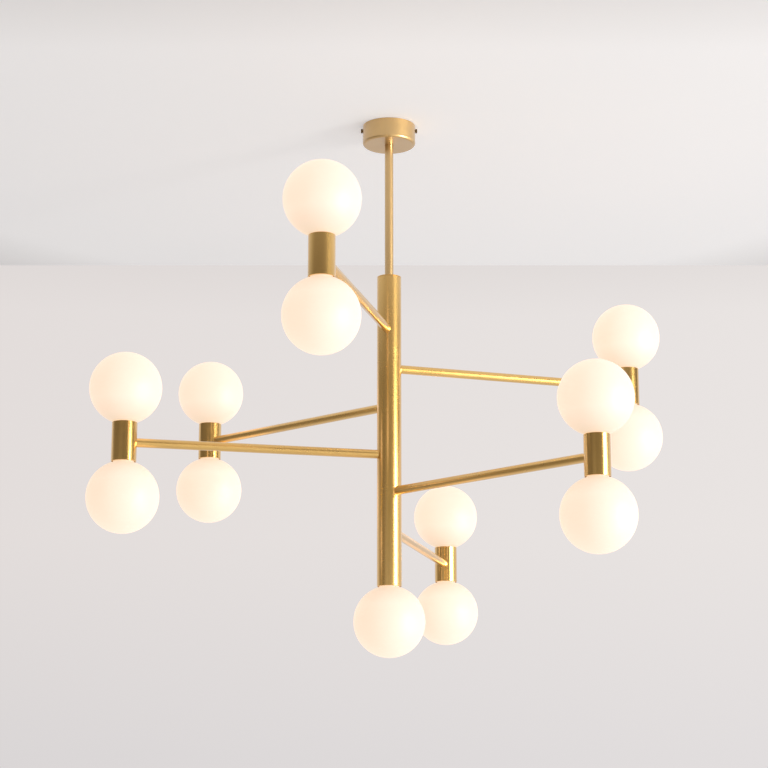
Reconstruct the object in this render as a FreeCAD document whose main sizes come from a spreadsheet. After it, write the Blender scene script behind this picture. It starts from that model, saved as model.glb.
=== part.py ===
import FreeCAD, Part
import math
import os
import types

import Sketcher

# A sputnik chandelier: a round canopy on a ceiling bracket, a stem, a tube column with six arms
# that leave it at six heights, a short barrel on each arm with a glass globe above and below it,
# and one more globe under the column. Millimetres; the origin is on the ceiling, +Z up.

DRIVING = {
    # glass globes, which screw onto the lampholders with a short neck
    "globe_diameter": 120.0,
    "glass_thickness": 2.5,
    "globe_sink": 1.5,
    "neck_wall": 2.7,
    "neck_clearance": 2.5,
    # brass tubes and rods
    "tube_diameter": 42.0,
    "tube_wall": 1.5,
    "tube_chamfer": 0.4,
    "barrel_length": 66.0,
    "rod_diameter": 15.0,
    # places of the column and the arms
    "column_drop": 277.4,
    "first_arm_drop": 96.0,
    "upper_step": 67.0,
    "tier_gap": 84.0,
    "lower_step": 64.0,
    "column_tail": 97.0,
    "arm_reach": 450.0,
    # each arm's direction about the column, from +X towards +Y
    "arm_1_angle": 256.8,
    "arm_2_angle": 18.5,
    "arm_3_angle": 137.8,
    "arm_4_angle": 193.8,
    "arm_5_angle": 315.0,
    "arm_6_angle": 76.0,
    # canopy and its side screws
    "canopy_diameter": 93.0,
    "canopy_height": 35.0,
    "canopy_wall": 1.0,
    "canopy_edge": 1.6,
    "side_screw_diameter": 4.0,
    "side_screw_drop": 8.0,
    "side_screw_length": 8.0,
    "side_head_diameter": 8.0,
    "side_head_length": 3.0,
    "side_head_bevel": 0.75,
    "driver_slot_width": 1.2,
    "driver_slot_depth": 1.2,
    # ceiling bracket
    "strap_width": 16.0,
    "strap_thickness": 2.0,
    "strap_bend": 1.0,
    "strap_bend_outer": 2.0,
    "bridge_half_width": 17.7,
    "bridge_drop": 19.0,
    "tab_height": 14.0,
    "slot_length": 12.0,
    "slot_width": 4.6,
    "wing_half_width": 13.0,
    "wing_length": 18.0,
    "ear_width": 12.0,
    # terminal block and earth screw
    "block_length": 24.0,
    "block_depth": 15.0,
    "block_height": 12.0,
    "block_pitch": 8.0,
    "block_bore": 3.2,
    "block_screw_well": 4.4,
    "block_gap": 1.0,
    "earth_screw_diameter": 4.0,
    "earth_head_diameter": 8.0,
    "earth_head_side": 1.6,
    "earth_head_height": 2.6,
    "earth_screw_tip": 2.0,
    # threaded nipples, nuts and washers
    "nipple_diameter": 10.0,
    "nipple_wall": 1.5,
    "nipple_grip": 12.0,
    "nut_width": 14.0,
    "nut_thickness": 3.0,
    "thread_stand_out": 1.0,
    "washer_diameter": 17.0,
    "washer_middle": 2.4,
    # column cap
    "cap_flange": 1.5,
    "cap_spigot": 4.0,
    # lampholders and the plates that carry them
    "plate_depth": 11.0,
    "plate_thickness": 1.2,
    "plate_rim": 7.0,
    "skirt_height": 8.0,
    "tower_diameter": 20.0,
    "tower_height": 12.0,
    "tail_length": 8.0,
    "gasket_thickness": 1.0,
    # two-pin bulbs
    "bulb_diameter": 15.0,
    "bulb_collar_diameter": 16.0,
    "bulb_collar_height": 8.0,
    "bulb_collar_slope": 1.0,
    "bulb_length": 45.0,
    "bulb_tip_diameter": 9.0,
    "pin_spacing": 9.0,
    "pin_diameter": 1.2,
    "pin_length": 8.0,
    "pin_well_gap": 1.0,
    # clearances
    "running_gap": 0.3,
    "seat_gap": 0.1,
    "lead_gap": 0.5,
    "cable_bend": 6.5,
    "lead_reach": 5.0,
    "cut_past": 1.0,
}

ORIGIN = FreeCAD.Vector(0, 0, 0)
UPWARD = FreeCAD.Vector(0, 0, 1)
LEVEL = FreeCAD.Rotation()
OUTWARD = FreeCAD.Rotation(FreeCAD.Vector(0, 1, 0), 90)
SIDEWAYS = FreeCAD.Rotation(FreeCAD.Vector(1, 0, 0), -90)
UPSIDE_DOWN = FreeCAD.Rotation(FreeCAD.Vector(1, 0, 0), 180)
FROM_TOP_TO_BACK = FreeCAD.Rotation(FreeCAD.Vector(1, 0, 1), 180)

doc = FreeCAD.newDocument("chandelier")
sheet = doc.addObject("Spreadsheet::Sheet", "sizes")


class Size:
    """A number with the formula that gives it from the sheet's cells."""

    def __init__(self, formula, number):
        self.formula = formula
        self.number = number

    def __add__(self, other):
        other = as_size(other)
        return Size(f"({self.formula} + {other.formula})", self.number + other.number)

    def __sub__(self, other):
        other = as_size(other)
        return Size(f"({self.formula} - {other.formula})", self.number - other.number)

    def __mul__(self, other):
        other = as_size(other)
        return Size(f"({self.formula} * {other.formula})", self.number * other.number)

    def __truediv__(self, other):
        other = as_size(other)
        return Size(f"({self.formula} / {other.formula})", self.number / other.number)

    def __neg__(self):
        return Size(f"(0 - {self.formula})", -self.number)


def as_size(value):
    return value if isinstance(value, Size) else Size(str(value), float(value))


def root(value):
    return Size(f"sqrt({value.formula})", math.sqrt(value.number))


def cosine(angle):
    return Size(f"cos({angle.formula})", math.cos(math.radians(angle.number)))


def sine(angle):
    return Size(f"sin({angle.formula})", math.sin(math.radians(angle.number)))


size = types.SimpleNamespace()
for row, (alias, number) in enumerate(DRIVING.items(), start=1):
    sheet.set(f"A{row}", alias)
    sheet.set(f"B{row}", str(number))
    sheet.setAlias(f"B{row}", alias)
    setattr(size, alias, Size(f"sizes.{alias}", number))
doc.recompute()

# ---- sizes that follow from the driving ones ----

globe_radius = size.globe_diameter / 2
globe_inner_radius = globe_radius - size.glass_thickness
globe_height = globe_radius - size.globe_sink
tube_radius = size.tube_diameter / 2
tube_bore_radius = tube_radius - size.tube_wall
rod_radius = size.rod_diameter / 2
nipple_radius = size.nipple_diameter / 2
nipple_bore_radius = nipple_radius - size.nipple_wall
tapped_radius = nipple_radius + size.seat_gap
lead_radius = nipple_bore_radius - size.lead_gap
canopy_radius = size.canopy_diameter / 2
canopy_inner_radius = canopy_radius - size.canopy_wall
half_barrel = size.barrel_length / 2

column_length = (
    size.first_arm_drop
    + size.upper_step * 2
    + size.tier_gap
    + size.lower_step * 2
    + size.column_tail
)
column_top = -size.column_drop
column_bottom = column_top - column_length

strap_half_width = size.strap_width / 2
tab_reach = canopy_inner_radius - size.lead_gap
tab_outer = root(tab_reach * tab_reach - strap_half_width * strap_half_width)
tab_inner = tab_outer - size.strap_thickness
bridge_top = size.strap_thickness - size.bridge_drop
bridge_bottom = -size.bridge_drop
slot_centre = (size.bridge_half_width + tab_inner) / 2
slot_radius = size.slot_width / 2
block_near = strap_half_width + size.block_gap

tower_radius = size.tower_diameter / 2
neck_outer_radius = tube_bore_radius - size.neck_clearance
neck_bore_radius = neck_outer_radius - size.neck_wall
skirt_radius = neck_bore_radius - size.running_gap
plate_radius = tube_bore_radius - size.seat_gap
plate_face = -size.plate_depth
plate_back = plate_face - size.plate_thickness
gasket_face = plate_face + size.gasket_thickness
neck_end = gasket_face + size.running_gap
skirt_top = plate_face + size.skirt_height
tower_top = skirt_top + size.tower_height
tail_end = plate_face - size.tail_length
bulb_foot = tower_top + size.running_gap

# the flat side of a curved washer, and what it carries towards the tube's axis
washer_radius = size.washer_diameter / 2
washer_seat = tube_bore_radius - size.seat_gap
washer_face = washer_seat - size.washer_middle
nut_face = washer_face - size.nut_thickness
nipple_start = nut_face - size.thread_stand_out

arm_angles = [getattr(size, f"arm_{number}_angle") for number in range(1, 7)]
arm_levels = [column_top - size.first_arm_drop]
for step in (size.upper_step, size.upper_step, size.tier_gap, size.lower_step, size.lower_step):
    arm_levels.append(arm_levels[-1] - step)
ARMS = tuple(zip(range(1, 7), arm_angles, arm_levels, strict=True))

# ---- helpers ----

subparts = {}


def bind(thing, path, value):
    """Ties one property of an object to the sheet."""
    thing.setExpression(path, as_size(value).formula)


def place(thing, x=0, y=0, z=0, turned=LEVEL):
    """Puts an object at a bound place with a fixed rotation."""
    thing.Placement = FreeCAD.Placement(ORIGIN, turned)
    for letter, value in (("x", x), ("y", y), ("z", z)):
        if isinstance(value, Size):
            bind(thing, f"Placement.Base.{letter}", value)
    return thing


def place_turned(thing, angle, x=0, y=0, z=0):
    """Puts an object at a bound place, turned about the vertical by a bound angle."""
    place(thing, x, y, z, FreeCAD.Rotation(UPWARD, 1))
    bind(thing, "Placement.Rotation.Angle", angle)
    return thing


def keep(label, thing):
    """Makes an object one of the chandelier's sub-parts."""
    thing.Label = label
    subparts[label] = thing
    return thing


def cylinder(name, radius, height):
    rod = doc.addObject("Part::Cylinder", name)
    bind(rod, "Radius", radius)
    bind(rod, "Height", height)
    return rod


def cut(name, base, *tools):
    """Takes each tool off the base in turn."""
    for count, tool in enumerate(tools, start=1):
        last = count == len(tools)
        cutting = doc.addObject("Part::Cut", name if last else f"{name}_cut_{count}")
        cutting.Base = base
        cutting.Tool = tool
        base = cutting
    return base


def fuse(name, *pieces):
    joined = doc.addObject("Part::MultiFuse", name)
    joined.Shapes = list(pieces)
    joined.Refine = True
    return joined


def group(name, members):
    together = doc.addObject("Part::Compound", name)
    together.Links = list(members)
    return together


def sketch_on(body, name, role):
    """A sketch on one of the body's own origin planes."""
    sketch = body.newObject("Sketcher::SketchObject", name)
    plane = next(item for item in body.Origin.OriginFeatures if item.Role == role)
    sketch.AttachmentSupport = (plane, [""])
    sketch.MapMode = "FlatFace"
    return sketch


def hold_point(sketch, line, end, x, y):
    """Holds one end of a line at a bound place in the sketch."""
    for kind, axis, value in (("DistanceX", -2, x), ("DistanceY", -1, y)):
        if isinstance(value, Size):
            index = sketch.addConstraint(
                Sketcher.Constraint(kind, -1, 1, line, end, value.number)
            )
            bind(sketch, f"Constraints[{index}]", value)
        else:
            sketch.addConstraint(Sketcher.Constraint("PointOnObject", line, end, axis))


def outline(sketch, corners):
    """A closed outline with a straight side from each corner to the next."""
    first = sketch.GeometryCount
    points = [FreeCAD.Vector(as_size(x).number, as_size(y).number, 0) for x, y in corners]
    for start, end in zip(points, points[1:] + points[:1], strict=True):
        sketch.addGeometry(Part.LineSegment(start, end))
    for index, (x, y) in enumerate(corners):
        following = (index + 1) % len(corners)
        sketch.addConstraint(
            Sketcher.Constraint("Coincident", first + index, 2, first + following, 1)
        )
        hold_point(sketch, first + index, 1, x, y)


def circle(sketch, radius, x=0, y=0):
    """A circle with a bound radius and a bound centre."""
    centre = FreeCAD.Vector(as_size(x).number, as_size(y).number, 0)
    index = sketch.addGeometry(Part.Circle(centre, UPWARD, radius.number))
    hold_point(sketch, index, 3, x, y)
    held = sketch.addConstraint(Sketcher.Constraint("Radius", index, radius.number))
    bind(sketch, f"Constraints[{held}]", radius)


def turned(body, name, corners):
    """A solid of revolution about the body's Z axis, from its half section."""
    section = sketch_on(body, f"{name}_section", "XZ_Plane")
    outline(section, corners)
    return revolve(body, name, section)


def revolve(body, name, section):
    solid = body.newObject("PartDesign::Revolution", name)
    solid.Profile = section
    solid.ReferenceAxis = (section, ["V_Axis"])
    solid.Angle = 360
    return solid


def pad(body, name, sketch, length, both_ways=False, downward=False):
    solid = body.newObject("PartDesign::Pad", name)
    solid.Profile = sketch
    bind(solid, "Length", length)
    solid.SideType = "Symmetric" if both_ways else "One side"
    solid.Reversed = downward
    return solid


def pocket_through(body, name, sketch):
    """A cut right through the body, both ways from its sketch."""
    hole = body.newObject("PartDesign::Pocket", name)
    hole.Profile = sketch
    hole.Type = "ThroughAll"
    hole.SideType = "Symmetric"
    return hole


def edges_where(shape, test):
    return [f"Edge{index}" for index, edge in enumerate(shape.Edges, start=1) if test(edge)]


def is_ring(edge, radius, height):
    """Whether an edge is a whole circle of this radius at this height."""
    curve = edge.Curve
    return (
        isinstance(curve, Part.Circle)
        and abs(curve.Radius - radius.number) < 1e-4
        and abs(curve.Center.z - as_size(height).number) < 1e-4
    )


def body_named(name):
    return doc.addObject("PartDesign::Body", name)


# ---- pieces that repeat ----


def tube(name, length, hole_levels=()):
    """A tube about Z from its lower end up, with chamfered rims and rod holes towards +X."""
    body = body_named(name)
    section = sketch_on(body, f"{name}_section", "XY_Plane")
    circle(section, tube_radius)
    circle(section, tube_bore_radius)
    wall = pad(body, f"{name}_wall", section, length)
    doc.recompute()
    rims = edges_where(
        wall.Shape,
        lambda edge: is_ring(edge, tube_radius, 0) or is_ring(edge, tube_radius, length),
    )
    softened = body.newObject("PartDesign::Chamfer", f"{name}_rims")
    softened.Base = (wall, rims)
    bind(softened, "Size", size.tube_chamfer)
    for level in hole_levels:
        hole = sketch_on(body, f"{name}_hole_place", "YZ_Plane")
        circle(hole, tapped_radius, 0, level)
        opening = body.newObject("PartDesign::Pocket", f"{name}_hole")
        opening.Profile = hole
        opening.Type = "ThroughAll"
        opening.SideType = "One side"
        opening.Reversed = True
    return body


def hex_nut(name):
    """A thin hexagon nut with its lower face at the origin."""
    block = doc.addObject("Part::Prism", f"{name}_block")
    block.Polygon = 6
    bind(block, "Circumradius", size.nut_width / root(as_size(3)))
    bind(block, "Height", size.nut_thickness)
    bore = cylinder(f"{name}_bore", tapped_radius, size.nut_thickness)
    return cut(name, block, bore)


def nipple(name, length):
    """A threaded pipe, plain outside, with its lower end at the origin."""
    pipe = cylinder(f"{name}_pipe", nipple_radius, length)
    bore = cylinder(f"{name}_bore", nipple_bore_radius, length)
    return cut(name, pipe, bore)


def saddle_washer(name):
    """A washer along +X, flat towards the tube's axis and curved where it lies on its wall."""
    disc = cylinder(f"{name}_disc", washer_radius, tube_bore_radius - washer_face)
    place(disc, x=washer_face, turned=OUTWARD)
    bore = cylinder(f"{name}_bore", tapped_radius, tube_bore_radius - washer_face)
    place(bore, x=washer_face, turned=OUTWARD)
    inside = cylinder(f"{name}_inside", washer_seat, size.washer_diameter * 2)
    place(inside, z=-size.washer_diameter)
    curved = doc.addObject("Part::Common", name)
    curved.Base = cut(f"{name}_flat", disc, bore)
    curved.Tool = inside
    return curved


def wall_nipple(name):
    """A nipple along +X, from inside a tube through its wall into the rod outside."""
    pipe = nipple(f"{name}_stock", tube_radius + size.nipple_grip - nipple_start)
    place(pipe, x=nipple_start, turned=OUTWARD)
    return group(name, [pipe])


def wall_nut(name):
    nut = hex_nut(f"{name}_stock")
    place(nut, x=nut_face, turned=OUTWARD)
    return group(name, [nut])


def globe(name):
    """An opal globe over a tube's end: the origin is the rim's centre, and its neck hangs below."""
    body = body_named(name)
    section = sketch_on(body, f"{name}_section", "XZ_Plane")
    middle = globe_height.number
    outer = globe_radius.number
    inner = globe_inner_radius.number
    neck_outer = neck_outer_radius.number
    neck_bore = neck_bore_radius.number
    outer_root = middle - math.sqrt(outer**2 - neck_outer**2)
    inner_root = middle - math.sqrt(inner**2 - neck_bore**2)
    point = FreeCAD.Vector
    end = neck_end.number
    corners = {
        "outer_foot": point(neck_outer, end, 0),
        "outer_root": point(neck_outer, outer_root, 0),
        "outer_pole": point(0, middle + outer, 0),
        "inner_pole": point(0, middle + inner, 0),
        "inner_root": point(neck_bore, inner_root, 0),
        "inner_foot": point(neck_bore, end, 0),
    }
    outer_start = math.atan2(outer_root - middle, neck_outer)
    inner_start = math.atan2(inner_root - middle, neck_bore)
    centre = point(0, middle, 0)
    outer_side = sketch_line(section, corners["outer_foot"], corners["outer_root"])
    outer_arc = section.addGeometry(
        Part.ArcOfCircle(Part.Circle(centre, UPWARD, outer), outer_start, math.pi / 2)
    )
    pole = sketch_line(section, corners["outer_pole"], corners["inner_pole"])
    inner_arc = section.addGeometry(
        Part.ArcOfCircle(Part.Circle(centre, UPWARD, inner), inner_start, math.pi / 2)
    )
    inner_side = sketch_line(section, corners["inner_root"], corners["inner_foot"])
    foot = sketch_line(section, corners["inner_foot"], corners["outer_foot"])
    for first, first_end, second, second_end in (
        (outer_side, 2, outer_arc, 1),
        (outer_arc, 2, pole, 1),
        (pole, 2, inner_arc, 2),
        (inner_arc, 1, inner_side, 1),
        (inner_side, 2, foot, 1),
        (foot, 2, outer_side, 1),
    ):
        section.addConstraint(
            Sketcher.Constraint("Coincident", first, first_end, second, second_end)
        )
    section.addConstraint(Sketcher.Constraint("Coincident", outer_arc, 3, inner_arc, 3))
    hold_point(section, outer_arc, 3, 0, globe_height)
    for arc, radius in ((outer_arc, globe_radius), (inner_arc, globe_inner_radius)):
        held = section.addConstraint(Sketcher.Constraint("Radius", arc, radius.number))
        bind(section, f"Constraints[{held}]", radius)
    hold_point(section, outer_side, 1, neck_outer_radius, neck_end)
    hold_point(section, inner_side, 2, neck_bore_radius, neck_end)
    for line in (outer_side, inner_side):
        section.addConstraint(Sketcher.Constraint("Vertical", line))
    for end_point in (1, 2):
        section.addConstraint(Sketcher.Constraint("PointOnObject", pole, end_point, -2))
    revolve(body, f"{name}_blown", section)
    return body


def sketch_line(sketch, start, end):
    return sketch.addGeometry(Part.LineSegment(start, end))


def lampholder(name):
    """A two-pin lampholder: tail through the plate, threaded skirt for the globe, slim tower."""
    body = body_named(name)
    turned(
        body,
        f"{name}_turned",
        [
            (nipple_bore_radius, tail_end),
            (nipple_radius, tail_end),
            (nipple_radius, plate_face),
            (skirt_radius, plate_face),
            (skirt_radius, skirt_top),
            (tower_radius, skirt_top),
            (tower_radius, tower_top),
            (0, tower_top),
            (0, plate_face),
            (nipple_bore_radius, plate_face),
        ],
    )
    sockets = sketch_on(body, f"{name}_pin_places", "XY_Plane")
    for side in (-1, 1):
        circle(sockets, size.pin_diameter / 2 + size.running_gap, size.pin_spacing / 2 * side)
    bind(sockets, "AttachmentOffset.Base.z", tower_top)
    holes = body.newObject("PartDesign::Pocket", f"{name}_pin_holes")
    holes.Profile = sockets
    holes.Type = "Length"
    holes.SideType = "One side"
    bind(holes, "Length", size.pin_length + size.pin_well_gap)
    return body


def bulb(name):
    """A two-pin capsule bulb: collar, glass with a round end, and its pins."""
    body = body_named(name)
    collar_radius = size.bulb_collar_diameter / 2
    glass_radius = size.bulb_diameter / 2
    collar_top = bulb_foot + size.bulb_collar_height
    tip = bulb_foot + size.bulb_length
    shoulder = tip - glass_radius / 2
    turned(
        body,
        f"{name}_turned",
        [
            (0, bulb_foot),
            (collar_radius, bulb_foot),
            (collar_radius, collar_top),
            (glass_radius, collar_top + size.bulb_collar_slope),
            (glass_radius, shoulder),
            (size.bulb_tip_diameter / 2, tip),
            (0, tip),
        ],
    )
    feet = sketch_on(body, f"{name}_pin_places", "XY_Plane")
    for side in (-1, 1):
        circle(feet, size.pin_diameter / 2, size.pin_spacing / 2 * side)
    bind(feet, "AttachmentOffset.Base.z", bulb_foot)
    pad(body, f"{name}_pins", feet, size.pin_length, downward=True)
    return body


def holder_plate(name):
    """A pressed cup in a tube's end, its rim turned towards the tube's middle."""
    body = body_named(name)
    rim_end = plate_face - size.plate_rim
    rim_inner = plate_radius - size.plate_thickness
    turned(
        body,
        f"{name}_pressed",
        [
            (tapped_radius, plate_face),
            (plate_radius, plate_face),
            (plate_radius, rim_end),
            (rim_inner, rim_end),
            (rim_inner, plate_back),
            (tapped_radius, plate_back),
        ],
    )
    return body


def gasket(name):
    ring = cylinder(f"{name}_ring", neck_outer_radius, size.gasket_thickness)
    hole = cylinder(f"{name}_hole", neck_bore_radius, size.gasket_thickness)
    return cut(name, place(ring, z=plate_face), place(hole, z=plate_face))


def tail_nut(name):
    nut = hex_nut(f"{name}_stock")
    place(nut, z=plate_back - size.nut_thickness)
    return group(name, [nut])


# ---- canopy, its bracket and what they hold ----


def make_canopy():
    body = body_named("canopy_body")
    floor = -size.canopy_height
    stem_hole = rod_radius + size.running_gap
    cup = turned(
        body,
        "canopy_cup",
        [
            (canopy_radius, 0),
            (canopy_radius, floor),
            (stem_hole, floor),
            (stem_hole, floor + size.canopy_wall),
            (canopy_inner_radius, floor + size.canopy_wall),
            (canopy_inner_radius, 0),
        ],
    )
    doc.recompute()
    rounded = body.newObject("PartDesign::Fillet", "canopy_edge")
    rounded.Base = (
        cup,
        edges_where(cup.Shape, lambda edge: is_ring(edge, canopy_radius, floor)),
    )
    bind(rounded, "Radius", size.canopy_edge)
    slot_half = size.side_screw_diameter / 2 + size.running_gap
    slot_low = -size.side_screw_drop
    slots = sketch_on(body, "canopy_slot_outline", "YZ_Plane")
    outline(
        slots,
        [
            (-slot_half, size.cut_past),
            (-slot_half, slot_low),
            (slot_half, slot_low),
            (slot_half, size.cut_past),
        ],
    )
    pocket_through(body, "canopy_slots", slots)
    ends = sketch_on(body, "canopy_slot_end_places", "YZ_Plane")
    circle(ends, slot_half, 0, slot_low)
    pocket_through(body, "canopy_slot_ends", ends)
    keep("canopy", body)


def make_bracket():
    """A bent strap: feet on the ceiling, a lowered bridge for the stem, tabs for the side screws."""
    body = body_named("bracket_body")
    side = sketch_on(body, "bracket_side", "XZ_Plane")
    thick = size.strap_thickness
    leg_outer = size.bridge_half_width
    leg_inner = leg_outer - thick
    tab_end = -size.tab_height
    half = [
        (leg_inner, bridge_top),
        (leg_inner, 0),
        (tab_outer, 0),
        (tab_outer, tab_end),
        (tab_inner, tab_end),
        (tab_inner, -thick),
        (leg_outer, -thick),
        (leg_outer, bridge_bottom),
    ]
    outline(side, half + [(-x, z) for x, z in reversed(half)])
    strap = pad(body, "bracket_strap", side, size.strap_width, both_ways=True)
    doc.recompute()

    def is_bend(edge, corners):
        ends = [vertex.Point for vertex in edge.Vertexes]
        if len(ends) != 2 or abs(ends[0].x - ends[1].x) > 1e-4 or abs(ends[0].z - ends[1].z) > 1e-4:
            return False
        return any(
            abs(abs(ends[0].x) - x.number) < 1e-3 and abs(ends[0].z - z.number) < 1e-3
            for x, z in corners
        )

    hollow = [(leg_inner, bridge_top), (tab_inner, -thick), (leg_outer, -thick)]
    crest = [(leg_inner, as_size(0)), (tab_outer, as_size(0)), (leg_outer, bridge_bottom)]
    soft = body.newObject("PartDesign::Fillet", "bracket_inner_bends")
    soft.Base = (strap, edges_where(strap.Shape, lambda edge: is_bend(edge, hollow)))
    bind(soft, "Radius", size.strap_bend)
    doc.recompute()
    round_bends = body.newObject("PartDesign::Fillet", "bracket_outer_bends")
    round_bends.Base = (soft, edges_where(soft.Shape, lambda edge: is_bend(edge, crest)))
    bind(round_bends, "Radius", size.strap_bend_outer)

    wing_edge = strap_half_width + size.wing_length
    wing = sketch_on(body, "bracket_wing_outline", "XY_Plane")
    outline(
        wing,
        [
            (-size.wing_half_width, 0),
            (size.wing_half_width, 0),
            (size.wing_half_width, wing_edge),
            (-size.wing_half_width, wing_edge),
        ],
    )
    bind(wing, "AttachmentOffset.Base.z", bridge_bottom)
    pad(body, "bracket_wing", wing, thick)
    ear = sketch_on(body, "bracket_ear_outline", "XY_Plane")
    ear_half = size.ear_width / 2
    ear_edge = -strap_half_width - size.ear_width
    outline(ear, [(-ear_half, 0), (ear_half, 0), (ear_half, ear_edge), (-ear_half, ear_edge)])
    bind(ear, "AttachmentOffset.Base.z", bridge_bottom)
    pad(body, "bracket_ear", ear, thick)

    slots = sketch_on(body, "bracket_slot_outlines", "XY_Plane")
    straight = size.slot_length / 2 - slot_radius
    for way in (-1, 1):
        middle = slot_centre * way
        outline(
            slots,
            [
                (middle - straight, -slot_radius),
                (middle + straight, -slot_radius),
                (middle + straight, slot_radius),
                (middle - straight, slot_radius),
            ],
        )
    pocket_through(body, "bracket_slots", slots)
    ends = sketch_on(body, "bracket_slot_end_places", "XY_Plane")
    for way in (-1, 1):
        for reach in (-straight, straight):
            circle(ends, slot_radius, slot_centre * way + reach)
    pocket_through(body, "bracket_slot_ends", ends)
    centre = sketch_on(body, "bracket_centre_place", "XY_Plane")
    circle(centre, tapped_radius)
    circle(centre, size.earth_screw_diameter / 2 + size.seat_gap, 0, earth_place())
    pocket_through(body, "bracket_centre_hole", centre)
    screws = sketch_on(body, "bracket_screw_places", "YZ_Plane")
    circle(screws, size.side_screw_diameter / 2 + size.seat_gap, 0, -size.side_screw_drop)
    pocket_through(body, "bracket_screw_holes", screws)
    keep("ceiling_bracket", body)


def earth_place():
    return -strap_half_width - size.ear_width / 2


def make_side_screw(label, way):
    """A slotted screw that holds the canopy to one of the bracket's tabs."""
    body = body_named(f"{label}_body")
    head_face = canopy_radius + size.running_gap
    shank_radius = size.side_screw_diameter / 2
    head_radius = size.side_head_diameter / 2
    head_end = head_face + size.side_head_length
    tip = head_face - size.side_screw_length
    bevel = size.side_head_bevel
    turned(
        body,
        f"{label}_turned",
        [
            (0, tip),
            (shank_radius, tip),
            (shank_radius, head_face),
            (head_radius, head_face),
            (head_radius, head_end - bevel),
            (head_radius - bevel, head_end),
            (0, head_end),
        ],
    )
    slot = sketch_on(body, f"{label}_slot_outline", "XZ_Plane")
    slot_half = size.driver_slot_width / 2
    slot_floor = head_end - size.driver_slot_depth
    outline(
        slot,
        [
            (-slot_half, slot_floor),
            (slot_half, slot_floor),
            (slot_half, head_end + size.cut_past),
            (-slot_half, head_end + size.cut_past),
        ],
    )
    pocket_through(body, f"{label}_slot", slot)
    turned_out = FreeCAD.Rotation(FreeCAD.Vector(0, 1, 0), 90 * way)
    place(body, z=-size.side_screw_drop, turned=turned_out)
    keep(label, body)


def make_terminal_block():
    """Three terminals side by side, each with a through hole for the wire and a screw well."""
    body = body_named("terminal_block_body")
    near = block_near
    base = sketch_on(body, "block_base", "XY_Plane")
    half = size.block_length / 2
    far = near + size.block_depth
    outline(base, [(-half, near), (half, near), (half, far), (-half, far)])
    bind(base, "AttachmentOffset.Base.z", bridge_top)
    pad(body, "block_case", base, size.block_height)
    wires = sketch_on(body, "block_wire_places", "XZ_Plane")
    wells = sketch_on(body, "block_well_places", "XY_Plane")
    wire_level = bridge_top + size.block_height / 3
    middle = near + size.block_depth / 2
    for way in (-1, 0, 1):
        across = size.block_pitch * way if way else 0
        circle(wires, size.block_bore / 2, across, wire_level)
        circle(wells, size.block_screw_well / 2, across, middle)
    pocket_through(body, "block_wire_holes", wires)
    bind(wells, "AttachmentOffset.Base.z", bridge_top + size.block_height)
    sunk = body.newObject("PartDesign::Pocket", "block_wells")
    sunk.Profile = wells
    sunk.Type = "Length"
    sunk.SideType = "One side"
    bind(sunk, "Length", size.block_height / 2)
    keep("terminal_block", body)


def make_earth_screw():
    body = body_named("earth_screw_body")
    shank = size.earth_screw_diameter / 2
    head = size.earth_head_diameter / 2
    turned(
        body,
        "earth_screw_turned",
        [
            (0, bridge_bottom - size.earth_screw_tip),
            (shank, bridge_bottom - size.earth_screw_tip),
            (shank, bridge_top),
            (head, bridge_top),
            (head, bridge_top + size.earth_head_side),
            (shank, bridge_top + size.earth_head_height),
            (0, bridge_top + size.earth_head_height),
        ],
    )
    place(body, y=earth_place())
    keep("earth_screw", body)


def make_stem():
    stem_length = bridge_bottom - column_top
    rod = cylinder("stem_rod", rod_radius, stem_length)
    bore = cylinder("stem_bore", tapped_radius, stem_length)
    place(rod, z=column_top)
    place(bore, z=column_top)
    keep("stem", cut("stem_cut", rod, bore))
    top_length = (
        size.thread_stand_out + size.nut_thickness + size.strap_thickness + size.nipple_grip
    )
    top = nipple("stem_top_nipple", top_length)
    place(top, z=bridge_bottom - size.nipple_grip)
    cap_depth = size.cap_flange + size.cap_spigot
    low_length = size.nipple_grip + cap_depth + size.nut_thickness + size.thread_stand_out
    low = nipple("stem_low_nipple", low_length)
    place(low, z=column_top + size.nipple_grip - low_length)
    keep("stem_nipples", group("stem_nipple_pair", [top, low]))
    upper_nut = hex_nut("stem_upper_nut")
    place(upper_nut, z=bridge_top)
    lower_nut = hex_nut("stem_lower_nut")
    place(lower_nut, z=column_top - cap_depth - size.nut_thickness)
    keep("stem_nuts", group("stem_nut_pair", [upper_nut, lower_nut]))


def make_mains_lead():
    """The supply lead: out of the terminal block, over a bend and down the stem and the column."""
    bend_low = bridge_top + size.nut_thickness + size.thread_stand_out
    run_level = bend_low + size.cable_bend
    foot = column_bottom - tail_end - size.lead_reach
    drop = cylinder("lead_drop", lead_radius, bend_low - foot)
    place(drop, z=foot)
    bend = doc.addObject("Part::Torus", "lead_bend")
    bind(bend, "Radius1", size.cable_bend)
    bind(bend, "Radius2", lead_radius)
    bend.Angle3 = 90
    place(bend, y=size.cable_bend, z=bend_low, turned=FROM_TOP_TO_BACK)
    run = cylinder("lead_run", lead_radius, block_near - size.cable_bend)
    place(run, y=size.cable_bend, z=run_level, turned=SIDEWAYS)
    keep("mains_lead", fuse("lead_whole", drop, bend, run))


# ---- column and arms ----


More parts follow.
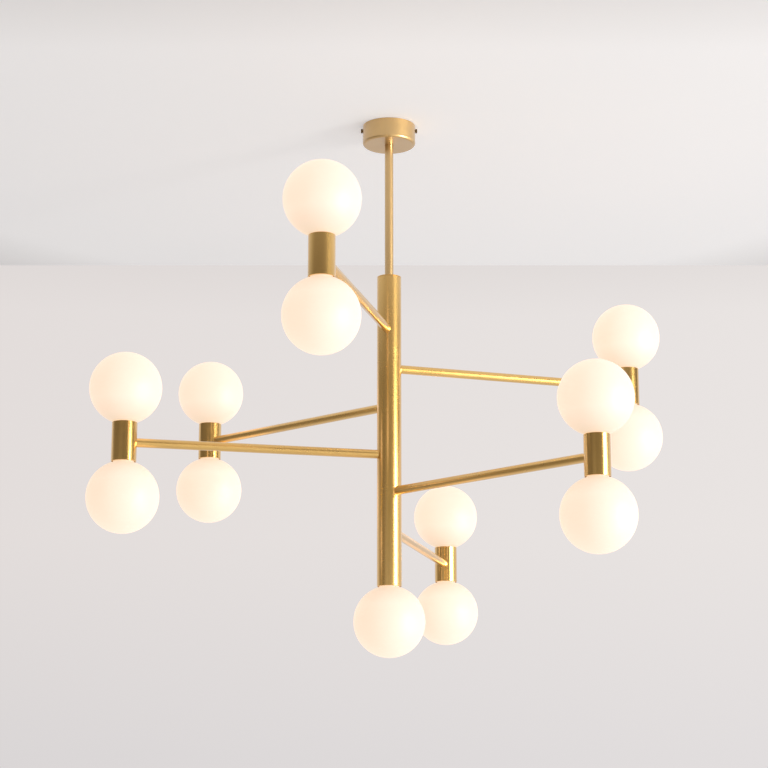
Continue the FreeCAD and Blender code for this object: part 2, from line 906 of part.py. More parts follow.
def make_column():
    wall = tube("column_wall_tube", column_length - size.cap_flange)
    place(wall, z=column_bottom)
    holes = []
    for number, angle, level in ARMS:
        hole = cylinder(f"column_hole_{number}", tapped_radius, tube_radius + size.cut_past)
        turned_hole = group(f"column_hole_turned_{number}", [place(hole, turned=OUTWARD)])
        holes.append(place_turned(turned_hole, angle, z=level))
    keep("column", cut("column_drilled", wall, *holes))
    body = body_named("column_cap_body")
    flange_low = column_top - size.cap_flange
    spigot_low = flange_low - size.cap_spigot
    bevel = size.tube_chamfer
    turned(
        body,
        "column_cap_turned",
        [
            (tapped_radius, spigot_low),
            (plate_radius, spigot_low),
            (plate_radius, flange_low),
            (tube_radius, flange_low),
            (tube_radius, column_top - bevel),
            (tube_radius - bevel, column_top),
            (tapped_radius, column_top),
        ],
    )
    keep("column_cap", body)


def make_arm(number, angle, level):
    """A rod with both ends coped to the round walls that they stand against."""
    name = f"arm_{number}"
    rod = place(cylinder(f"{name}_rod", rod_radius, size.arm_reach), turned=OUTWARD)
    bore = place(cylinder(f"{name}_bore", tapped_radius, size.arm_reach), turned=OUTWARD)
    cope = tube_radius + size.seat_gap
    near = place(cylinder(f"{name}_near_cope", cope, size.rod_diameter * 2), z=-size.rod_diameter)
    far = cylinder(f"{name}_far_cope", cope, size.rod_diameter * 2)
    place(far, x=size.arm_reach, z=-size.rod_diameter)
    arm = cut(f"{name}_coped", rod, bore, near, far)
    keep(name, place_turned(arm, angle, z=level))


def make_barrel(number, angle, level):
    name = f"barrel_{number}"
    barrel = tube(f"{name}_tube", size.barrel_length, [half_barrel])
    place_turned(
        barrel,
        angle + 180,
        size.arm_reach * cosine(angle),
        size.arm_reach * sine(angle),
        level - half_barrel,
    )
    keep(name, barrel)


def make_wall_fixings():
    """The nipple, nut and curved washer at both ends of each arm."""
    nipples, nuts, washers = [], [], []
    for number, angle, level in ARMS:
        x = size.arm_reach * cosine(angle)
        y = size.arm_reach * sine(angle)
        for end, around, place_x, place_y in (
            ("column", angle, 0, 0),
            ("barrel", angle + 180, x, y),
        ):
            name = f"{end}_{number}"
            for pieces, piece in (
                (nipples, wall_nipple(f"{name}_nipple")),
                (nuts, wall_nut(f"{name}_nut")),
                (washers, saddle_washer(f"{name}_washer")),
            ):
                pieces.append(place_turned(piece, around, place_x, place_y, level))
    keep("arm_nipples", group("arm_nipple_group", nipples))
    keep("arm_nuts", group("arm_nut_group", nuts))
    keep("arm_washers", group("arm_washer_group", washers))


def make_arm_leads():
    """In each arm a lead from the column's lead to the barrel, where it reaches both holders."""
    leads = []
    link_half = half_barrel + tail_end + size.lead_reach
    for number, angle, level in ARMS:
        name = f"arm_lead_{number}"
        start = lead_radius + size.running_gap
        run = cylinder(f"{name}_run", lead_radius, size.arm_reach - start)
        place(run, x=start, turned=OUTWARD)
        link = cylinder(f"{name}_link", lead_radius, link_half * 2)
        place(link, x=size.arm_reach, z=-link_half)
        leads.append(place_turned(fuse(name, run, link), angle, z=level))
    keep("arm_leads", group("arm_lead_group", leads))


# ---- what stands on each open tube end ----


def make_lights():
    """Globe, bulb and lampholder at both ends of each barrel and at the column's lower end."""
    ends = []
    for number, angle, level in ARMS:
        x = size.arm_reach * cosine(angle)
        y = size.arm_reach * sine(angle)
        ends.append((f"{number}_upper", number, x, y, level + half_barrel, LEVEL))
        ends.append((f"{number}_lower", number, x, y, level - half_barrel, UPSIDE_DOWN))
    ends.append(("bottom", "bottom", 0, 0, column_bottom, UPSIDE_DOWN))
    holders, bulbs = {}, {}
    plates, gaskets, nuts = [], [], []
    for name, fitting, x, y, z, way_up in ends:
        keep(f"globe_{name}", place(globe(f"glass_{name}"), x, y, z, way_up))
        for kind, collected in ((lampholder, holders), (bulb, bulbs)):
            piece = place(kind(f"{kind.__name__}_{name}"), x, y, z, way_up)
            collected.setdefault(fitting, []).append(piece)
        for kind, row_of in ((holder_plate, plates), (gasket, gaskets), (tail_nut, nuts)):
            row_of.append(place(kind(f"{kind.__name__}_{name}"), x, y, z, way_up))
    for fitting, pieces in holders.items():
        keep(f"lampholders_{fitting}", group(f"holder_set_{fitting}", pieces))
    for fitting, pieces in bulbs.items():
        keep(f"bulbs_{fitting}", group(f"bulb_set_{fitting}", pieces))
    keep("holder_plates", group("plate_group", plates))
    keep("globe_gaskets", group("gasket_group", gaskets))
    keep("holder_nuts", group("holder_nut_group", nuts))


def write_parts():
    doc.recompute()
    for thing in doc.Objects:
        if "Invalid" in thing.State or "Error" in thing.State:
            raise RuntimeError(f"{thing.Name} failed: {thing.State}")
    for label, thing in subparts.items():
        if thing.Shape.isNull() or not thing.Shape.isValid():
            raise RuntimeError(f"{label} has no valid shape")
    os.makedirs("parts", exist_ok=True)
    for label, thing in subparts.items():
        thing.Shape.exportStep(f"parts/{label}.step")
        print(f"{label}: {len(thing.Shape.Solids)} solids, {thing.Shape.Volume / 1000:.2f} cm3")


make_bracket()
make_canopy()
make_side_screw("canopy_screw_left", -1)
make_side_screw("canopy_screw_right", 1)
make_terminal_block()
make_earth_screw()
make_stem()
make_mains_lead()
make_column()
for number, angle, level in ARMS:
    make_arm(number, angle, level)
    make_barrel(number, angle, level)
make_wall_fixings()
make_arm_leads()
make_lights()
write_parts()
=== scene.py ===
import math

import bmesh
import bpy
from mathutils import Matrix, Vector


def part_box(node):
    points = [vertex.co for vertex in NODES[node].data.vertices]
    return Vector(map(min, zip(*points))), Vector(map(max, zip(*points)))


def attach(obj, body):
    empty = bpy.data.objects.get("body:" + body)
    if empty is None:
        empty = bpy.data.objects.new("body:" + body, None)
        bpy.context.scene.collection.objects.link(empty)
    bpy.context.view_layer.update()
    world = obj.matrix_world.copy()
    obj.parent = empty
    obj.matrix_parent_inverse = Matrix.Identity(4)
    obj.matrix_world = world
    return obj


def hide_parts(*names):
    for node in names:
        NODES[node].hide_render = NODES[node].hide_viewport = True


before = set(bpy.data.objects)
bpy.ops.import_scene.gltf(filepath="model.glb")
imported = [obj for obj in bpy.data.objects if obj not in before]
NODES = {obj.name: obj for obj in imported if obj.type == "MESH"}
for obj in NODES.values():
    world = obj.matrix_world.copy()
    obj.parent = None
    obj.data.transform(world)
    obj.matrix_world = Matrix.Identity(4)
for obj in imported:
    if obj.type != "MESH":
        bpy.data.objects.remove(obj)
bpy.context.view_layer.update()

ARMS = range(1, 7)

# ---- camera, at the photograph's place below and in front of the chandelier ----

LENS_MM = 90.7
SENSOR_MM = 36.0
CAMERA_PLACE = (-0.0089, -3.232, -1.227)
CAMERA_TILT_DEG = 13.22


def make_camera():
    data = bpy.data.cameras.new("camera")
    data.lens = LENS_MM
    data.sensor_width = SENSOR_MM
    camera = bpy.data.objects.new("camera", data)
    camera.location = CAMERA_PLACE
    camera.rotation_euler = (math.radians(90 + CAMERA_TILT_DEG), 0, 0)
    bpy.context.scene.collection.objects.link(camera)
    bpy.context.scene.camera = camera


# ---- colours, read as they look on screen ----


def linear(red, green, blue):
    """A colour given as 0 to 255 on screen, in linear light."""
    steps = [value / 255 for value in (red, green, blue)]
    lit = [v / 12.92 if v <= 0.04045 else ((v + 0.055) / 1.055) ** 2.4 for v in steps]
    return (*lit, 1.0)


# the wall is painted darker to the left and low down, and in a band under the ceiling, as painted
# shade
WALL_LOW_LEFT = linear(218, 214, 214)
WALL_LOW_RIGHT = linear(226, 222, 222)
WALL_HIGH_LEFT = linear(227, 221, 219)
WALL_HIGH_RIGHT = linear(233, 228, 226)
WALL_SHADE = linear(214, 208, 206)
CEILING = linear(236, 233, 232)
# painted shade of the ceiling far off, and the painted light of its own glow from left to right
CEILING_PAINTED_SHADE = linear(150, 144, 138)
CEILING_PAINTED_LIGHT_LEFT = linear(140, 143, 147)
CEILING_PAINTED_LIGHT_RIGHT = linear(155, 158, 162)
ROOM_LEFT = linear(138, 131, 122)
ROOM_RIGHT = linear(238, 235, 230)
BRASS = linear(235, 190, 104)
BRASS_DARK = linear(226, 180, 95)
PALE_BRASS = linear(213, 177, 115)
PALE_BRASS_DARK = linear(205, 168, 106)
MILK = linear(184, 184, 190)
MILK_PALE = linear(192, 192, 197)
# the globes' painted glow for the bulbs inside, and its dimmer tone at the neck as painted shade of
# the lampholder
GLOW = linear(237, 204, 175)
GLOW_PALE = linear(241, 208, 179)
GLOW_SHADED_AT_NECK = linear(214, 186, 154)
BULB_LIGHT = linear(255, 247, 228)
BULB_WARM = linear(255, 238, 205)
PORCELAIN = linear(240, 238, 231), linear(228, 225, 216)
SILICONE = linear(226, 224, 219), linear(214, 211, 205)
SHEATH = linear(232, 230, 224), linear(216, 213, 205)
PLASTIC = linear(235, 232, 221), linear(224, 220, 206)
ZINC = linear(206, 208, 210), linear(160, 163, 168)
BRONZE = linear(122, 98, 62), linear(84, 64, 38)

# ---- node helpers ----


class Nodes:
    """Builds one node tree with short calls."""

    def __init__(self, tree):
        self.tree = tree
        tree.nodes.clear()

    def add(self, kind, **values):
        node = self.tree.nodes.new(kind)
        for name, value in values.items():
            setattr(node, name, value)
        return node

    def link(self, start, end):
        self.tree.links.new(start, end)

    def noise(self, where, scale, detail=3.0, roughness=0.5, stretch=None):
        """Noise over a coordinate, drawn out along an axis where stretch is given."""
        if stretch:
            mapping = self.add("ShaderNodeMapping")
            mapping.inputs["Scale"].default_value = stretch
            self.link(where, mapping.inputs["Vector"])
            where = mapping.outputs["Vector"]
        noise = self.add("ShaderNodeTexNoise")
        noise.inputs["Scale"].default_value = scale
        noise.inputs["Detail"].default_value = detail
        noise.inputs["Roughness"].default_value = roughness
        self.link(where, noise.inputs["Vector"])
        return noise.outputs["Fac"]

    def ramp(self, value, low, high, start=0.0, end=1.0):
        """Maps a value's stretch from start to end onto low to high."""
        node = self.add("ShaderNodeMapRange")
        node.inputs["From Min"].default_value = start
        node.inputs["From Max"].default_value = end
        node.inputs["To Min"].default_value = low
        node.inputs["To Max"].default_value = high
        self.link(value, node.inputs["Value"])
        return node.outputs["Result"]

    def mix(self, factor, first, second):
        node = self.add("ShaderNodeMix", data_type="RGBA")
        self.link(factor, node.inputs["Factor"])
        for name, value in (("A", first), ("B", second)):
            socket = next(s for s in node.inputs if s.name == name and s.type == "RGBA")
            if isinstance(value, tuple):
                socket.default_value = value
            else:
                self.link(value, socket)
        return next(s for s in node.outputs if s.type == "RGBA")

    def maths(self, operation, first, second=None):
        node = self.add("ShaderNodeMath", operation=operation)
        for socket, value in zip(node.inputs, (first, second)):
            if value is None:
                continue
            if isinstance(value, (int, float)):
                socket.default_value = value
            else:
                self.link(value, socket)
        return node.outputs["Value"]

    def seen(self):
        """1 for the rays that show the background: straight, in metal and through glass."""
        path = self.add("ShaderNodeLightPath")
        glossy = self.maths("MAXIMUM", path.outputs["Is Camera Ray"], path.outputs["Is Glossy Ray"])
        return self.maths("MAXIMUM", glossy, path.outputs["Is Transmission Ray"])

    def finish(self, factor, first, second, output):
        """Ends the tree with a mix of two shaders."""
        either = self.add("ShaderNodeMixShader")
        self.link(factor, either.inputs[0])
        self.link(first.outputs[0], either.inputs[1])
        self.link(second.outputs[0], either.inputs[2])
        self.link(either.outputs[0], self.add(output).inputs["Surface"])

    def bump(self, height, strength, distance):
        node = self.add("ShaderNodeBump")
        node.inputs["Strength"].default_value = strength
        node.inputs["Distance"].default_value = distance
        self.link(height, node.inputs["Height"])
        return node.outputs["Normal"]


def material(name):
    made = bpy.data.materials.new(name)
    made.use_nodes = True
    nodes = Nodes(made.node_tree)
    surface = nodes.add("ShaderNodeBsdfPrincipled")
    output = nodes.add("ShaderNodeOutputMaterial")
    nodes.link(surface.outputs["BSDF"], output.inputs["Surface"])
    place = nodes.add("ShaderNodeTexCoord").outputs["Object"]
    return made, nodes, surface.inputs, place


# ---- materials ----

# roughness of each brass piece, and its grain: how far the fine lines are drawn out on X, Y and Z
ROUGH_ROD, ROUGH_COLUMN, ROUGH_BARREL = 0.36, 0.27, 0.2
ROUGH_ARM, ROUGH_SPUN, ROUGH_THREAD = 0.3, 0.46, 0.3
GRAIN_UPRIGHT, GRAIN_LEVEL = (1.0, 1.0, 0.03), (0.4, 0.4, 1.0)
GRAIN_SPUN, GRAIN_NONE = (0.25, 0.25, 1.0), (1.0, 1.0, 1.0)
COAT_ROUGHNESS, COAT_IOR = 0.14, 1.7
BRASS_CLOUD, BRASS_LINES, BRASS_MARKS = 9.0, 60.0, 38.0
BRASS_SPREAD, BRASS_WEAR = 0.04, 0.07
BRASS_BUMP, BRASS_BUMP_DEPTH = 0.05, 0.0002

# where the painted shade beside the lampholder gives way to the full painted glow, as shares of a
# globe's height, with its neck below or above
NECK_BELOW, NECK_ABOVE = (0.12, 0.34), (0.88, 0.66)
GLASS_CLOUD, GLASS_ROUGHNESS, GLASS_IOR = 14.0, 0.48, 1.5
GLASS_BUMP, GLASS_BUMP_DEPTH = 0.03, 0.0008

FROST, BULB_GLOW, BULB_ROUGHNESS = 400.0, 1.2, (0.35, 0.5)
SPANGLE, STEEL_BUMP, STEEL_BUMP_DEPTH = 180.0, 0.08, 0.0003
STEEL_SMOOTHER, STEEL_ROUGHER = 0.07, 0.08
SPECKLE, SPECKLE_SPREAD, SPECKLE_BUMP, SPECKLE_BUMP_DEPTH = 260.0, 0.05, 0.05, 0.0002


def brass_finish(name, grain, roughness, light=BRASS, dark=BRASS_DARK):
    """Satin brass under clear lacquer, with a fine drawn grain and faint clouding."""
    made, nodes, shader, place = material(name)
    cloud = nodes.noise(place, BRASS_CLOUD, 4.0, 0.6)
    lines = nodes.noise(place, BRASS_LINES, 2.0, 0.6, grain)
    marks = nodes.noise(place, BRASS_MARKS, 5.0, 0.7)
    tone = nodes.mix(nodes.ramp(cloud, 0.0, 0.5, 0.35, 0.75), light, dark)
    nodes.link(tone, shader["Base Color"])
    shader["Metallic"].default_value = 1.0
    rough = nodes.maths(
        "ADD",
        nodes.ramp(lines, roughness - BRASS_SPREAD, roughness + BRASS_SPREAD, 0.3, 0.7),
        nodes.ramp(marks, 0.0, BRASS_WEAR, 0.55, 0.8),
    )
    nodes.link(rough, shader["Roughness"])
    shader["Coat Weight"].default_value = 1.0
    shader["Coat Roughness"].default_value = COAT_ROUGHNESS
    shader["Coat IOR"].default_value = COAT_IOR
    nodes.link(nodes.bump(lines, BRASS_BUMP, BRASS_BUMP_DEPTH), shader["Normal"])
    return made


def opal_glass(name, neck):
    """Satin opal glass with a warm painted glow for the lit bulb inside, dimmer beside the
    lampholder in its neck as painted shade. The glow grows between neck's two shares of the globe's
    height."""
    made, nodes, shader, place = material(name)
    cloud = nodes.noise(place, GLASS_CLOUD, 2.0, 0.5)
    nodes.link(nodes.mix(cloud, MILK, MILK_PALE), shader["Base Color"])
    height = nodes.add("ShaderNodeSeparateXYZ")
    nodes.link(nodes.add("ShaderNodeTexCoord").outputs["Generated"], height.inputs[0])
    past_neck = nodes.ramp(height.outputs["Z"], 0.0, 1.0, *neck)
    # painted glow, dimmed near the neck as painted shade of the lampholder
    glow = nodes.mix(past_neck, GLOW_SHADED_AT_NECK, nodes.mix(cloud, GLOW, GLOW_PALE))
    nodes.link(glow, shader["Emission Color"])
    shader["Emission Strength"].default_value = 1.0
    shader["Roughness"].default_value = GLASS_ROUGHNESS
    shader["IOR"].default_value = GLASS_IOR
    nodes.link(nodes.bump(cloud, GLASS_BUMP, GLASS_BUMP_DEPTH), shader["Normal"])
    return made


def frosted_bulb():
    """The bulbs' frosted glass, lit."""
    made, nodes, shader, place = material("bulb_glass")
    frost = nodes.noise(place, FROST, 2.0)
    tone = nodes.mix(frost, BULB_WARM, BULB_LIGHT)
    nodes.link(tone, shader["Base Color"])
    nodes.link(tone, shader["Emission Color"])
    shader["Emission Strength"].default_value = BULB_GLOW
    nodes.link(nodes.ramp(frost, *BULB_ROUGHNESS), shader["Roughness"])
    return made


def plated_steel(name, colours, roughness):
    """Plated or bronzed steel with a soft spangle."""
    made, nodes, shader, place = material(name)
    light, dark = colours
    spangle = nodes.noise(place, SPANGLE, 4.0, 0.6)
    tone = nodes.mix(nodes.ramp(spangle, 0.0, 1.0, 0.3, 0.7), dark, light)
    nodes.link(tone, shader["Base Color"])
    shader["Metallic"].default_value = 1.0
    rough = nodes.ramp(spangle, roughness - STEEL_SMOOTHER, roughness + STEEL_ROUGHER)
    nodes.link(rough, shader["Roughness"])
    nodes.link(nodes.bump(spangle, STEEL_BUMP, STEEL_BUMP_DEPTH), shader["Normal"])
    return made


def moulded(name, colours, roughness):
    """Glazed, moulded or extruded material with a fine speckle."""
    made, nodes, shader, place = material(name)
    light, dark = colours
    speckle = nodes.noise(place, SPECKLE, 3.0, 0.6)
    nodes.link(nodes.mix(speckle, dark, light), shader["Base Color"])
    rough = nodes.ramp(speckle, roughness - SPECKLE_SPREAD, roughness + SPECKLE_SPREAD)
    nodes.link(rough, shader["Roughness"])
    nodes.link(nodes.bump(speckle, SPECKLE_BUMP, SPECKLE_BUMP_DEPTH), shader["Normal"])
    return made


def dress(names, finish):
    """Gives CAD nodes their finish and smooth shading."""
    for name in names:
        mesh = NODES[name].data
        mesh.materials.clear()
        mesh.materials.append(finish)
        for polygon in mesh.polygons:
            polygon.use_smooth = True


# ---- pieces that the solids leave plain ----

MM = 0.001

# the canopy: its outside, the solid's edge radius and the photograph's
CUP_RADIUS, CUP_HEIGHT, CUP_WALL = 46.5 * MM, 35 * MM, 1 * MM
SOLID_EDGE, CUP_EDGE = 1.6 * MM, 4.5 * MM
SLACK = 0.05 * MM

# the thread on each lampholder's skirt, from the end of the globe's neck
SKIRT_RADIUS, THREAD_START = 14 * MM, 0.9 * MM
THREAD_PITCH, THREAD_TURNS = 1.7 * MM, 3
RIDGE_HEIGHT, RIDGE_HALF, RIDGE_ROOT = 0.2 * MM, 0.45 * MM, 0.1 * MM
TURN_STEPS, RUN_OUT_STEPS = 48, 12

# the clamp screws in the terminal block's wells
WELL_PITCH, WELL_Y, WELL_FLOOR = 8 * MM, 16.5 * MM, -11 * MM
SCREW_RADIUS, SCREW_HEIGHT, SCREW_BEVEL = 1.9 * MM, 2.2 * MM, 0.25 * MM
SCREW_CORE, SCREW_SIDES = 1.855 * MM, 32
SLOT_HALF, SLOT_DEPTH, SLOT_ARC_STEPS = 0.35 * MM, 0.9 * MM, 12
SLOT_TURN = 0.5


def new_piece(name, mesh, body, place=(0, 0, 0), turn=(0, 0, 0)):
    """A piece at its place that rides on a CAD body and takes its finish from a slot."""
    piece = bpy.data.objects.new(name, mesh)
    piece.location = place
    piece.rotation_euler = turn
    bpy.context.scene.collection.objects.link(piece)
    bpy.context.view_layer.update()
    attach(piece, body)
    return piece


def make_canopy_cup():
    """The canopy with the photograph's wider rounded edge, made from the dressed solid's own cup:
    the points of its edge move out to the wider round, outside and inside the wall."""
    mesh = NODES["canopy"].data.copy()
    corner, level = CUP_RADIUS - SOLID_EDGE, SOLID_EDGE - CUP_HEIGHT
    for vertex in mesh.vertices:
        x, y, z = vertex.co
        out = math.hypot(x, y)
        if out < corner - SLACK or z > level + SLACK:
            continue
        reach = math.hypot(out - corner, level - z)
        turn = math.atan2(level - z, out - corner)
        outside = reach > SOLID_EDGE - CUP_WALL / 2
        radius = CUP_EDGE if outside else CUP_EDGE - CUP_WALL
        new_out = CUP_RADIUS - CUP_EDGE + radius * math.cos(turn)
        new_level = CUP_EDGE - CUP_HEIGHT - radius * math.sin(turn)
        vertex.co = (x * new_out / out, y * new_out / out, new_level)
    piece = new_piece("canopy_cup", mesh, "canopy_body")
    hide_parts("canopy")


def thread_mesh(finish):
    """A rounded ridge that winds round the Z axis and runs out at both ends."""
    steps = TURN_STEPS * THREAD_TURNS
    corners, faces = [], []
    for step in range(steps + 1):
        turn = math.tau * step / TURN_STEPS
        level = THREAD_START + RIDGE_HALF + THREAD_PITCH * step / TURN_STEPS
        height = RIDGE_HEIGHT * min(step, steps - step, RUN_OUT_STEPS) / RUN_OUT_STEPS
        for out, up in (
            (-RIDGE_ROOT, -RIDGE_HALF),
            (height, -RIDGE_HALF / 3),
            (height, RIDGE_HALF / 3),
            (-RIDGE_ROOT, RIDGE_HALF),
        ):
            radius = SKIRT_RADIUS + out
            corners.append((radius * math.cos(turn), radius * math.sin(turn), level + up))
    for first in range(0, steps * 4, 4):
        for side in range(4):
            after = (side + 1) % 4
            faces.append((first + side, first + after, first + 4 + after, first + 4 + side))
    last = steps * 4
    faces += [(3, 2, 1, 0), (last, last + 1, last + 2, last + 3)]
    mesh = bpy.data.meshes.new("skirt_thread")
    mesh.from_pydata(corners, [], faces)
    mesh.materials.append(finish)
    for polygon in mesh.polygons:
        polygon.use_smooth = True
    return mesh


def make_skirt_threads(finish):
    """The round thread of every lampholder's skirt, just inside the neck of its globe."""
    mesh = thread_mesh(finish)
    for node in [name for name in NODES if name.startswith("globe_") and name != "globe_gaskets"]:
        low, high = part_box(node)
        upper = node.endswith("upper")
        place = ((low[0] + high[0]) / 2, (low[1] + high[1]) / 2, low[2] if upper else high[2])
        turn = (0 if upper else math.pi, 0, 0)
        new_piece(node.replace("globe", "thread"), mesh, "root", place, turn)


def add_half_head(made, side, radius, height):
    """The part of a round head on one side of the driver's slot."""
    half = math.asin(SLOT_HALF / radius)
    span = math.pi - 2 * half
    arc = [half + span * step / SLOT_ARC_STEPS for step in range(SLOT_ARC_STEPS + 1)]
    ring = [(radius * math.cos(turn), side * radius * math.sin(turn)) for turn in arc]
    base = [made.verts.new((x, y, 0)) for x, y in ring]
    top = [made.verts.new((x, y, height)) for x, y in ring]
    for first in range(len(ring)):
        after = (first + 1) % len(ring)
        made.faces.new((base[first], base[after], top[after], top[first]))
    made.faces.new(top)
    made.faces.new(base)


def screw_mesh(finish):
    """A short screw whose stepped head has a driver's slot along X."""
    made = bmesh.new()
    for side in (-1, 1):
        add_half_head(made, side, SCREW_RADIUS, SCREW_HEIGHT - SCREW_BEVEL)
        add_half_head(made, side, SCREW_RADIUS - SCREW_BEVEL, SCREW_HEIGHT)
    core_height = SCREW_HEIGHT - SLOT_DEPTH
    bmesh.ops.create_cone(
        made,
        cap_ends=True,
        segments=SCREW_SIDES,
        radius1=SCREW_CORE,
        radius2=SCREW_CORE,
        depth=core_height,
        matrix=Matrix.Translation((0, 0, core_height / 2)),
    )
    bmesh.ops.recalc_face_normals(made, faces=made.faces)
    mesh = bpy.data.meshes.new("clamp_screw")
    made.to_mesh(mesh)
    made.free()
    mesh.materials.append(finish)
    return mesh


def make_terminal_screws(finish):
    """A slotted clamp screw in each well of the terminal block."""
    mesh = screw_mesh(finish)
    for number, way in ((1, -1), (2, 0), (3, 1)):
        place = (way * WELL_PITCH, WELL_Y, WELL_FLOOR)
        turn = (0, 0, way * SLOT_TURN)
        new_piece(f"clamp_screw_{number}", mesh, "root", place, turn)


def dress_brass():
    """Every brass piece, with its grain along the way that it was drawn, spun or turned."""
    pale = PALE_BRASS, PALE_BRASS_DARK
    dress(["stem"], brass_finish("brass_rod", GRAIN_UPRIGHT, ROUGH_ROD, *pale))
    dress(["canopy"], brass_finish("brass_spun", GRAIN_SPUN, ROUGH_SPUN, *pale))
    make_canopy_cup()
    dress(["column", "column_cap"], brass_finish("brass_upright", GRAIN_UPRIGHT, ROUGH_COLUMN))
    barrels = [f"barrel_{number}" for number in ARMS]
    dress(barrels, brass_finish("brass_barrel", GRAIN_UPRIGHT, ROUGH_BARREL))
    arms = [f"arm_{number}" for number in ARMS]
    dress(arms, brass_finish("brass_level", GRAIN_LEVEL, ROUGH_ARM))
    turned_brass = brass_finish("thread_brass", GRAIN_NONE, ROUGH_THREAD)
    dress(["arm_nipples", "stem_nipples"], turned_brass)
    make_terminal_screws(turned_brass)


def dress_lights():
    """The globes, bulbs and lampholders, and the gaskets between them."""
    upper = [f"globe_{number}_upper" for number in ARMS]
    lower = [f"globe_{number}_lower" for number in ARMS] + ["globe_bottom"]
    dress(upper, opal_glass("opal_glass_upper", NECK_BELOW))
    dress(lower, opal_glass("opal_glass_lower", NECK_ABOVE))
    dress([name for name in NODES if name.startswith("bulbs_")], frosted_bulb())
    porcelain = moulded("porcelain", PORCELAIN, 0.22)
    dress([name for name in NODES if name.startswith("lampholders_")], porcelain)
    make_skirt_threads(porcelain)
    dress(["globe_gaskets"], moulded("silicone", SILICONE, 0.6))


def dress_fittings():
    """The bracket, the fasteners and the wiring."""
    zinc = plated_steel("zinc_steel", ZINC, 0.34)
    dress(["ceiling_bracket", "holder_plates", "arm_washers"], zinc)
    dress(["arm_nuts", "holder_nuts", "stem_nuts", "earth_screw"], zinc)
    dress(["canopy_screw_left", "canopy_screw_right"], plated_steel("screw_bronze", BRONZE, 0.3))
    dress(["mains_lead", "arm_leads"], moulded("lead_sheath", SHEATH, 0.5))
    dress(["terminal_block"], moulded("terminal_plastic", PLASTIC, 0.45))


# ---- stage and light ----

WALL_Y = 0.852
CEILING_SPAN = 6.0
CEILING_LIFT = 0.0006

# where the ceiling's painted light changes from left to right, and where it ends far off and in
# front; far off, painted shade also darkens the ceiling's colour
CEILING_SIDES = (-1.0, 1.0)
CEILING_FAR = (1.0, 2.0)
CEILING_FRONT = (-1.0, -0.35)

# stretches of the direction's parts over which the wall, the room and the window pane change
WALL_SIDES = (-0.2, 0.2)
WALL_RISE = (0.04, 0.15)
# the band of painted shade on the wall just under the ceiling
CORNER_SHADE_RISE, CORNER_SHADE_SHARE = (0.262, 0.288), 0.35
ROOM_SIDES = (-0.9, 0.5)
WALL_AHEAD = (0.0, 0.5)
PANE_LEFT, PANE_RIGHT, PANE_BEHIND = (0.66, 0.74), (0.95, 0.99), (-0.1, 0.0)
PANE_STRENGTH = 8.0
ROOM_STRENGTH = 0.8


def ceiling_paint():
    """Matt paint with a little painted light of its own near the chandelier, painted shade that
    darkens its colour far off, and clear from above.
    """
    paint = bpy.data.materials.new("ceiling_paint")
    paint.use_nodes = True
    nodes = Nodes(paint.node_tree)
    matt = nodes.add("ShaderNodeBsdfPrincipled")
    matt.inputs["Roughness"].default_value = 1.0
    matt.inputs["Specular IOR Level"].default_value = 0.0
    place = nodes.add("ShaderNodeTexCoord").outputs["Object"]
    distance = nodes.add("ShaderNodeVectorMath", operation="LENGTH")
    nodes.link(place, distance.inputs[0])
    # painted shade: the ceiling's colour darkens far from the chandelier
    far_shade = nodes.ramp(distance.outputs["Value"], 0.0, 1.0, *CEILING_FAR)
    nodes.link(nodes.mix(far_shade, CEILING, CEILING_PAINTED_SHADE), matt.inputs["Base Color"])
    parts = nodes.add("ShaderNodeSeparateXYZ")
    nodes.link(place, parts.inputs[0])
    across = nodes.ramp(parts.outputs["X"], 0.0, 1.0, *CEILING_SIDES)
    # painted light: the ceiling glows a little by itself, more to the right
    nodes.link(nodes.mix(across, CEILING_PAINTED_LIGHT_LEFT, CEILING_PAINTED_LIGHT_RIGHT), matt.inputs["Emission Color"])
    # the painted light fades out far off and in front
    light_pool = nodes.ramp(distance.outputs["Value"], 1.0, 0.0, *CEILING_FAR)
    light_pool = nodes.maths("MULTIPLY", light_pool, nodes.ramp(parts.outputs["Y"], 0.0, 1.0, *CEILING_FRONT))
    nodes.link(nodes.maths("MULTIPLY", nodes.seen(), light_pool), matt.inputs["Emission Strength"])
    clear = nodes.add("ShaderNodeBsdfTransparent")
    from_above = nodes.add("ShaderNodeNewGeometry").outputs["Backfacing"]
    nodes.finish(from_above, matt, clear, "ShaderNodeOutputMaterial")
    return paint


def make_ceiling():
    """The ceiling over the chandelier, from the wall forwards."""
    half, front = CEILING_SPAN / 2, WALL_Y - CEILING_SPAN
    corners = [(-half, WALL_Y), (half, WALL_Y), (half, front), (-half, front)]
    mesh = bpy.data.meshes.new("ceiling")
    mesh.from_pydata([(x, y, CEILING_LIFT) for x, y in corners], [], [(0, 1, 2, 3)])
    mesh.materials.append(ceiling_paint())
    sheet = bpy.data.objects.new("ceiling", mesh)
    bpy.context.scene.collection.objects.link(sheet)


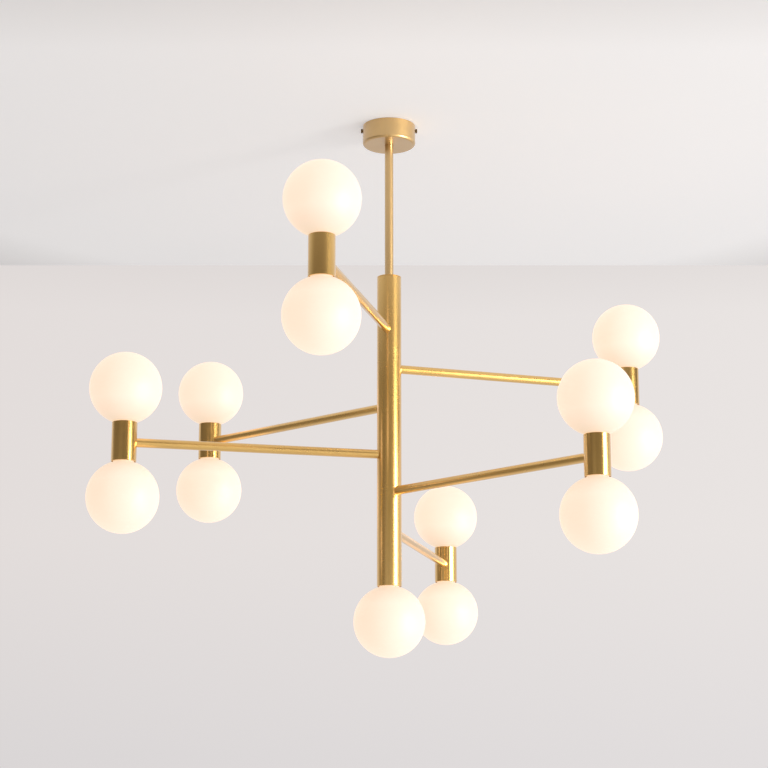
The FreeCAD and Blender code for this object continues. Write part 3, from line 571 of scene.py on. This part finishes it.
def make_world():
    """A pale wall all round to the eye. Metal and glass show that wall ahead, and behind the
    camera a room that is darker to the left, with a tall window pane to the right."""
    world = bpy.data.worlds.new("room")
    bpy.context.scene.world = world
    world.use_nodes = True
    nodes = Nodes(world.node_tree)
    way = nodes.add("ShaderNodeSeparateXYZ")
    nodes.link(nodes.add("ShaderNodeTexCoord").outputs["Generated"], way.inputs[0])
    right, ahead, up = (way.outputs[name] for name in "XYZ")
    straight = nodes.add("ShaderNodeLightPath").outputs["Is Camera Ray"]

    # painted shade: the wall darker to the left and low down
    across = nodes.ramp(right, 0.0, 1.0, *WALL_SIDES)
    low = nodes.mix(across, WALL_LOW_LEFT, WALL_LOW_RIGHT)
    high = nodes.mix(across, WALL_HIGH_LEFT, WALL_HIGH_RIGHT)
    wall = nodes.mix(nodes.ramp(up, 0.0, 1.0, *WALL_RISE), low, high)
    # painted shade in a band just under the ceiling
    wall = nodes.mix(nodes.ramp(up, 0.0, CORNER_SHADE_SHARE, *CORNER_SHADE_RISE), wall, WALL_SHADE)
    room = nodes.mix(nodes.ramp(right, 0.0, 1.0, *ROOM_SIDES), ROOM_LEFT, ROOM_RIGHT)
    room = nodes.mix(nodes.ramp(ahead, 0.0, 1.0, *WALL_AHEAD), room, wall)

    pane = nodes.maths(
        "MINIMUM",
        nodes.ramp(right, 0.0, 1.0, *PANE_LEFT),
        nodes.ramp(right, 1.0, 0.0, *PANE_RIGHT),
    )
    pane = nodes.maths("MULTIPLY", pane, nodes.ramp(ahead, 1.0, 0.0, *PANE_BEHIND))
    pane = nodes.maths("MULTIPLY", pane, nodes.maths("SUBTRACT", 1.0, straight))

    light = nodes.add("ShaderNodeBackground")
    nodes.link(room, light.inputs["Color"])
    light.inputs["Strength"].default_value = ROOM_STRENGTH
    seen = nodes.add("ShaderNodeBackground")
    nodes.link(nodes.mix(straight, room, wall), seen.inputs["Color"])
    nodes.link(nodes.ramp(pane, 1.0, PANE_STRENGTH), seen.inputs["Strength"])
    nodes.finish(nodes.seen(), light, seen, "ShaderNodeOutputWorld")


LAMP_AIM = (0, 0, -0.5)
LAMPS = (
    # name, place, width, height, power, colour
    ("window", (2.6, -1.6, -0.5), 0.5, 1.8, 44, (1.0, 0.98, 0.95)),
    ("fill", (-1.6, -3.2, -1.0), 2.0, 2.0, 2.5, (1.0, 0.97, 0.93)),
)


def make_lamps():
    """The window to the right, and a weak fill from the left behind the camera."""
    for name, place, width, height, power, colour in LAMPS:
        data = bpy.data.lights.new(name, "AREA")
        data.shape = "RECTANGLE"
        data.size = width
        data.size_y = height
        data.energy = power
        data.color = colour
        lamp = bpy.data.objects.new(name, data)
        lamp.location = place
        lamp.rotation_euler = (Vector(LAMP_AIM) - Vector(place)).to_track_quat("-Z", "Y").to_euler()
        bpy.context.scene.collection.objects.link(lamp)


bpy.context.scene.view_settings.view_transform = "Standard"
make_camera()
dress_brass()
dress_lights()
dress_fittings()
make_ceiling()
make_world()
make_lamps()
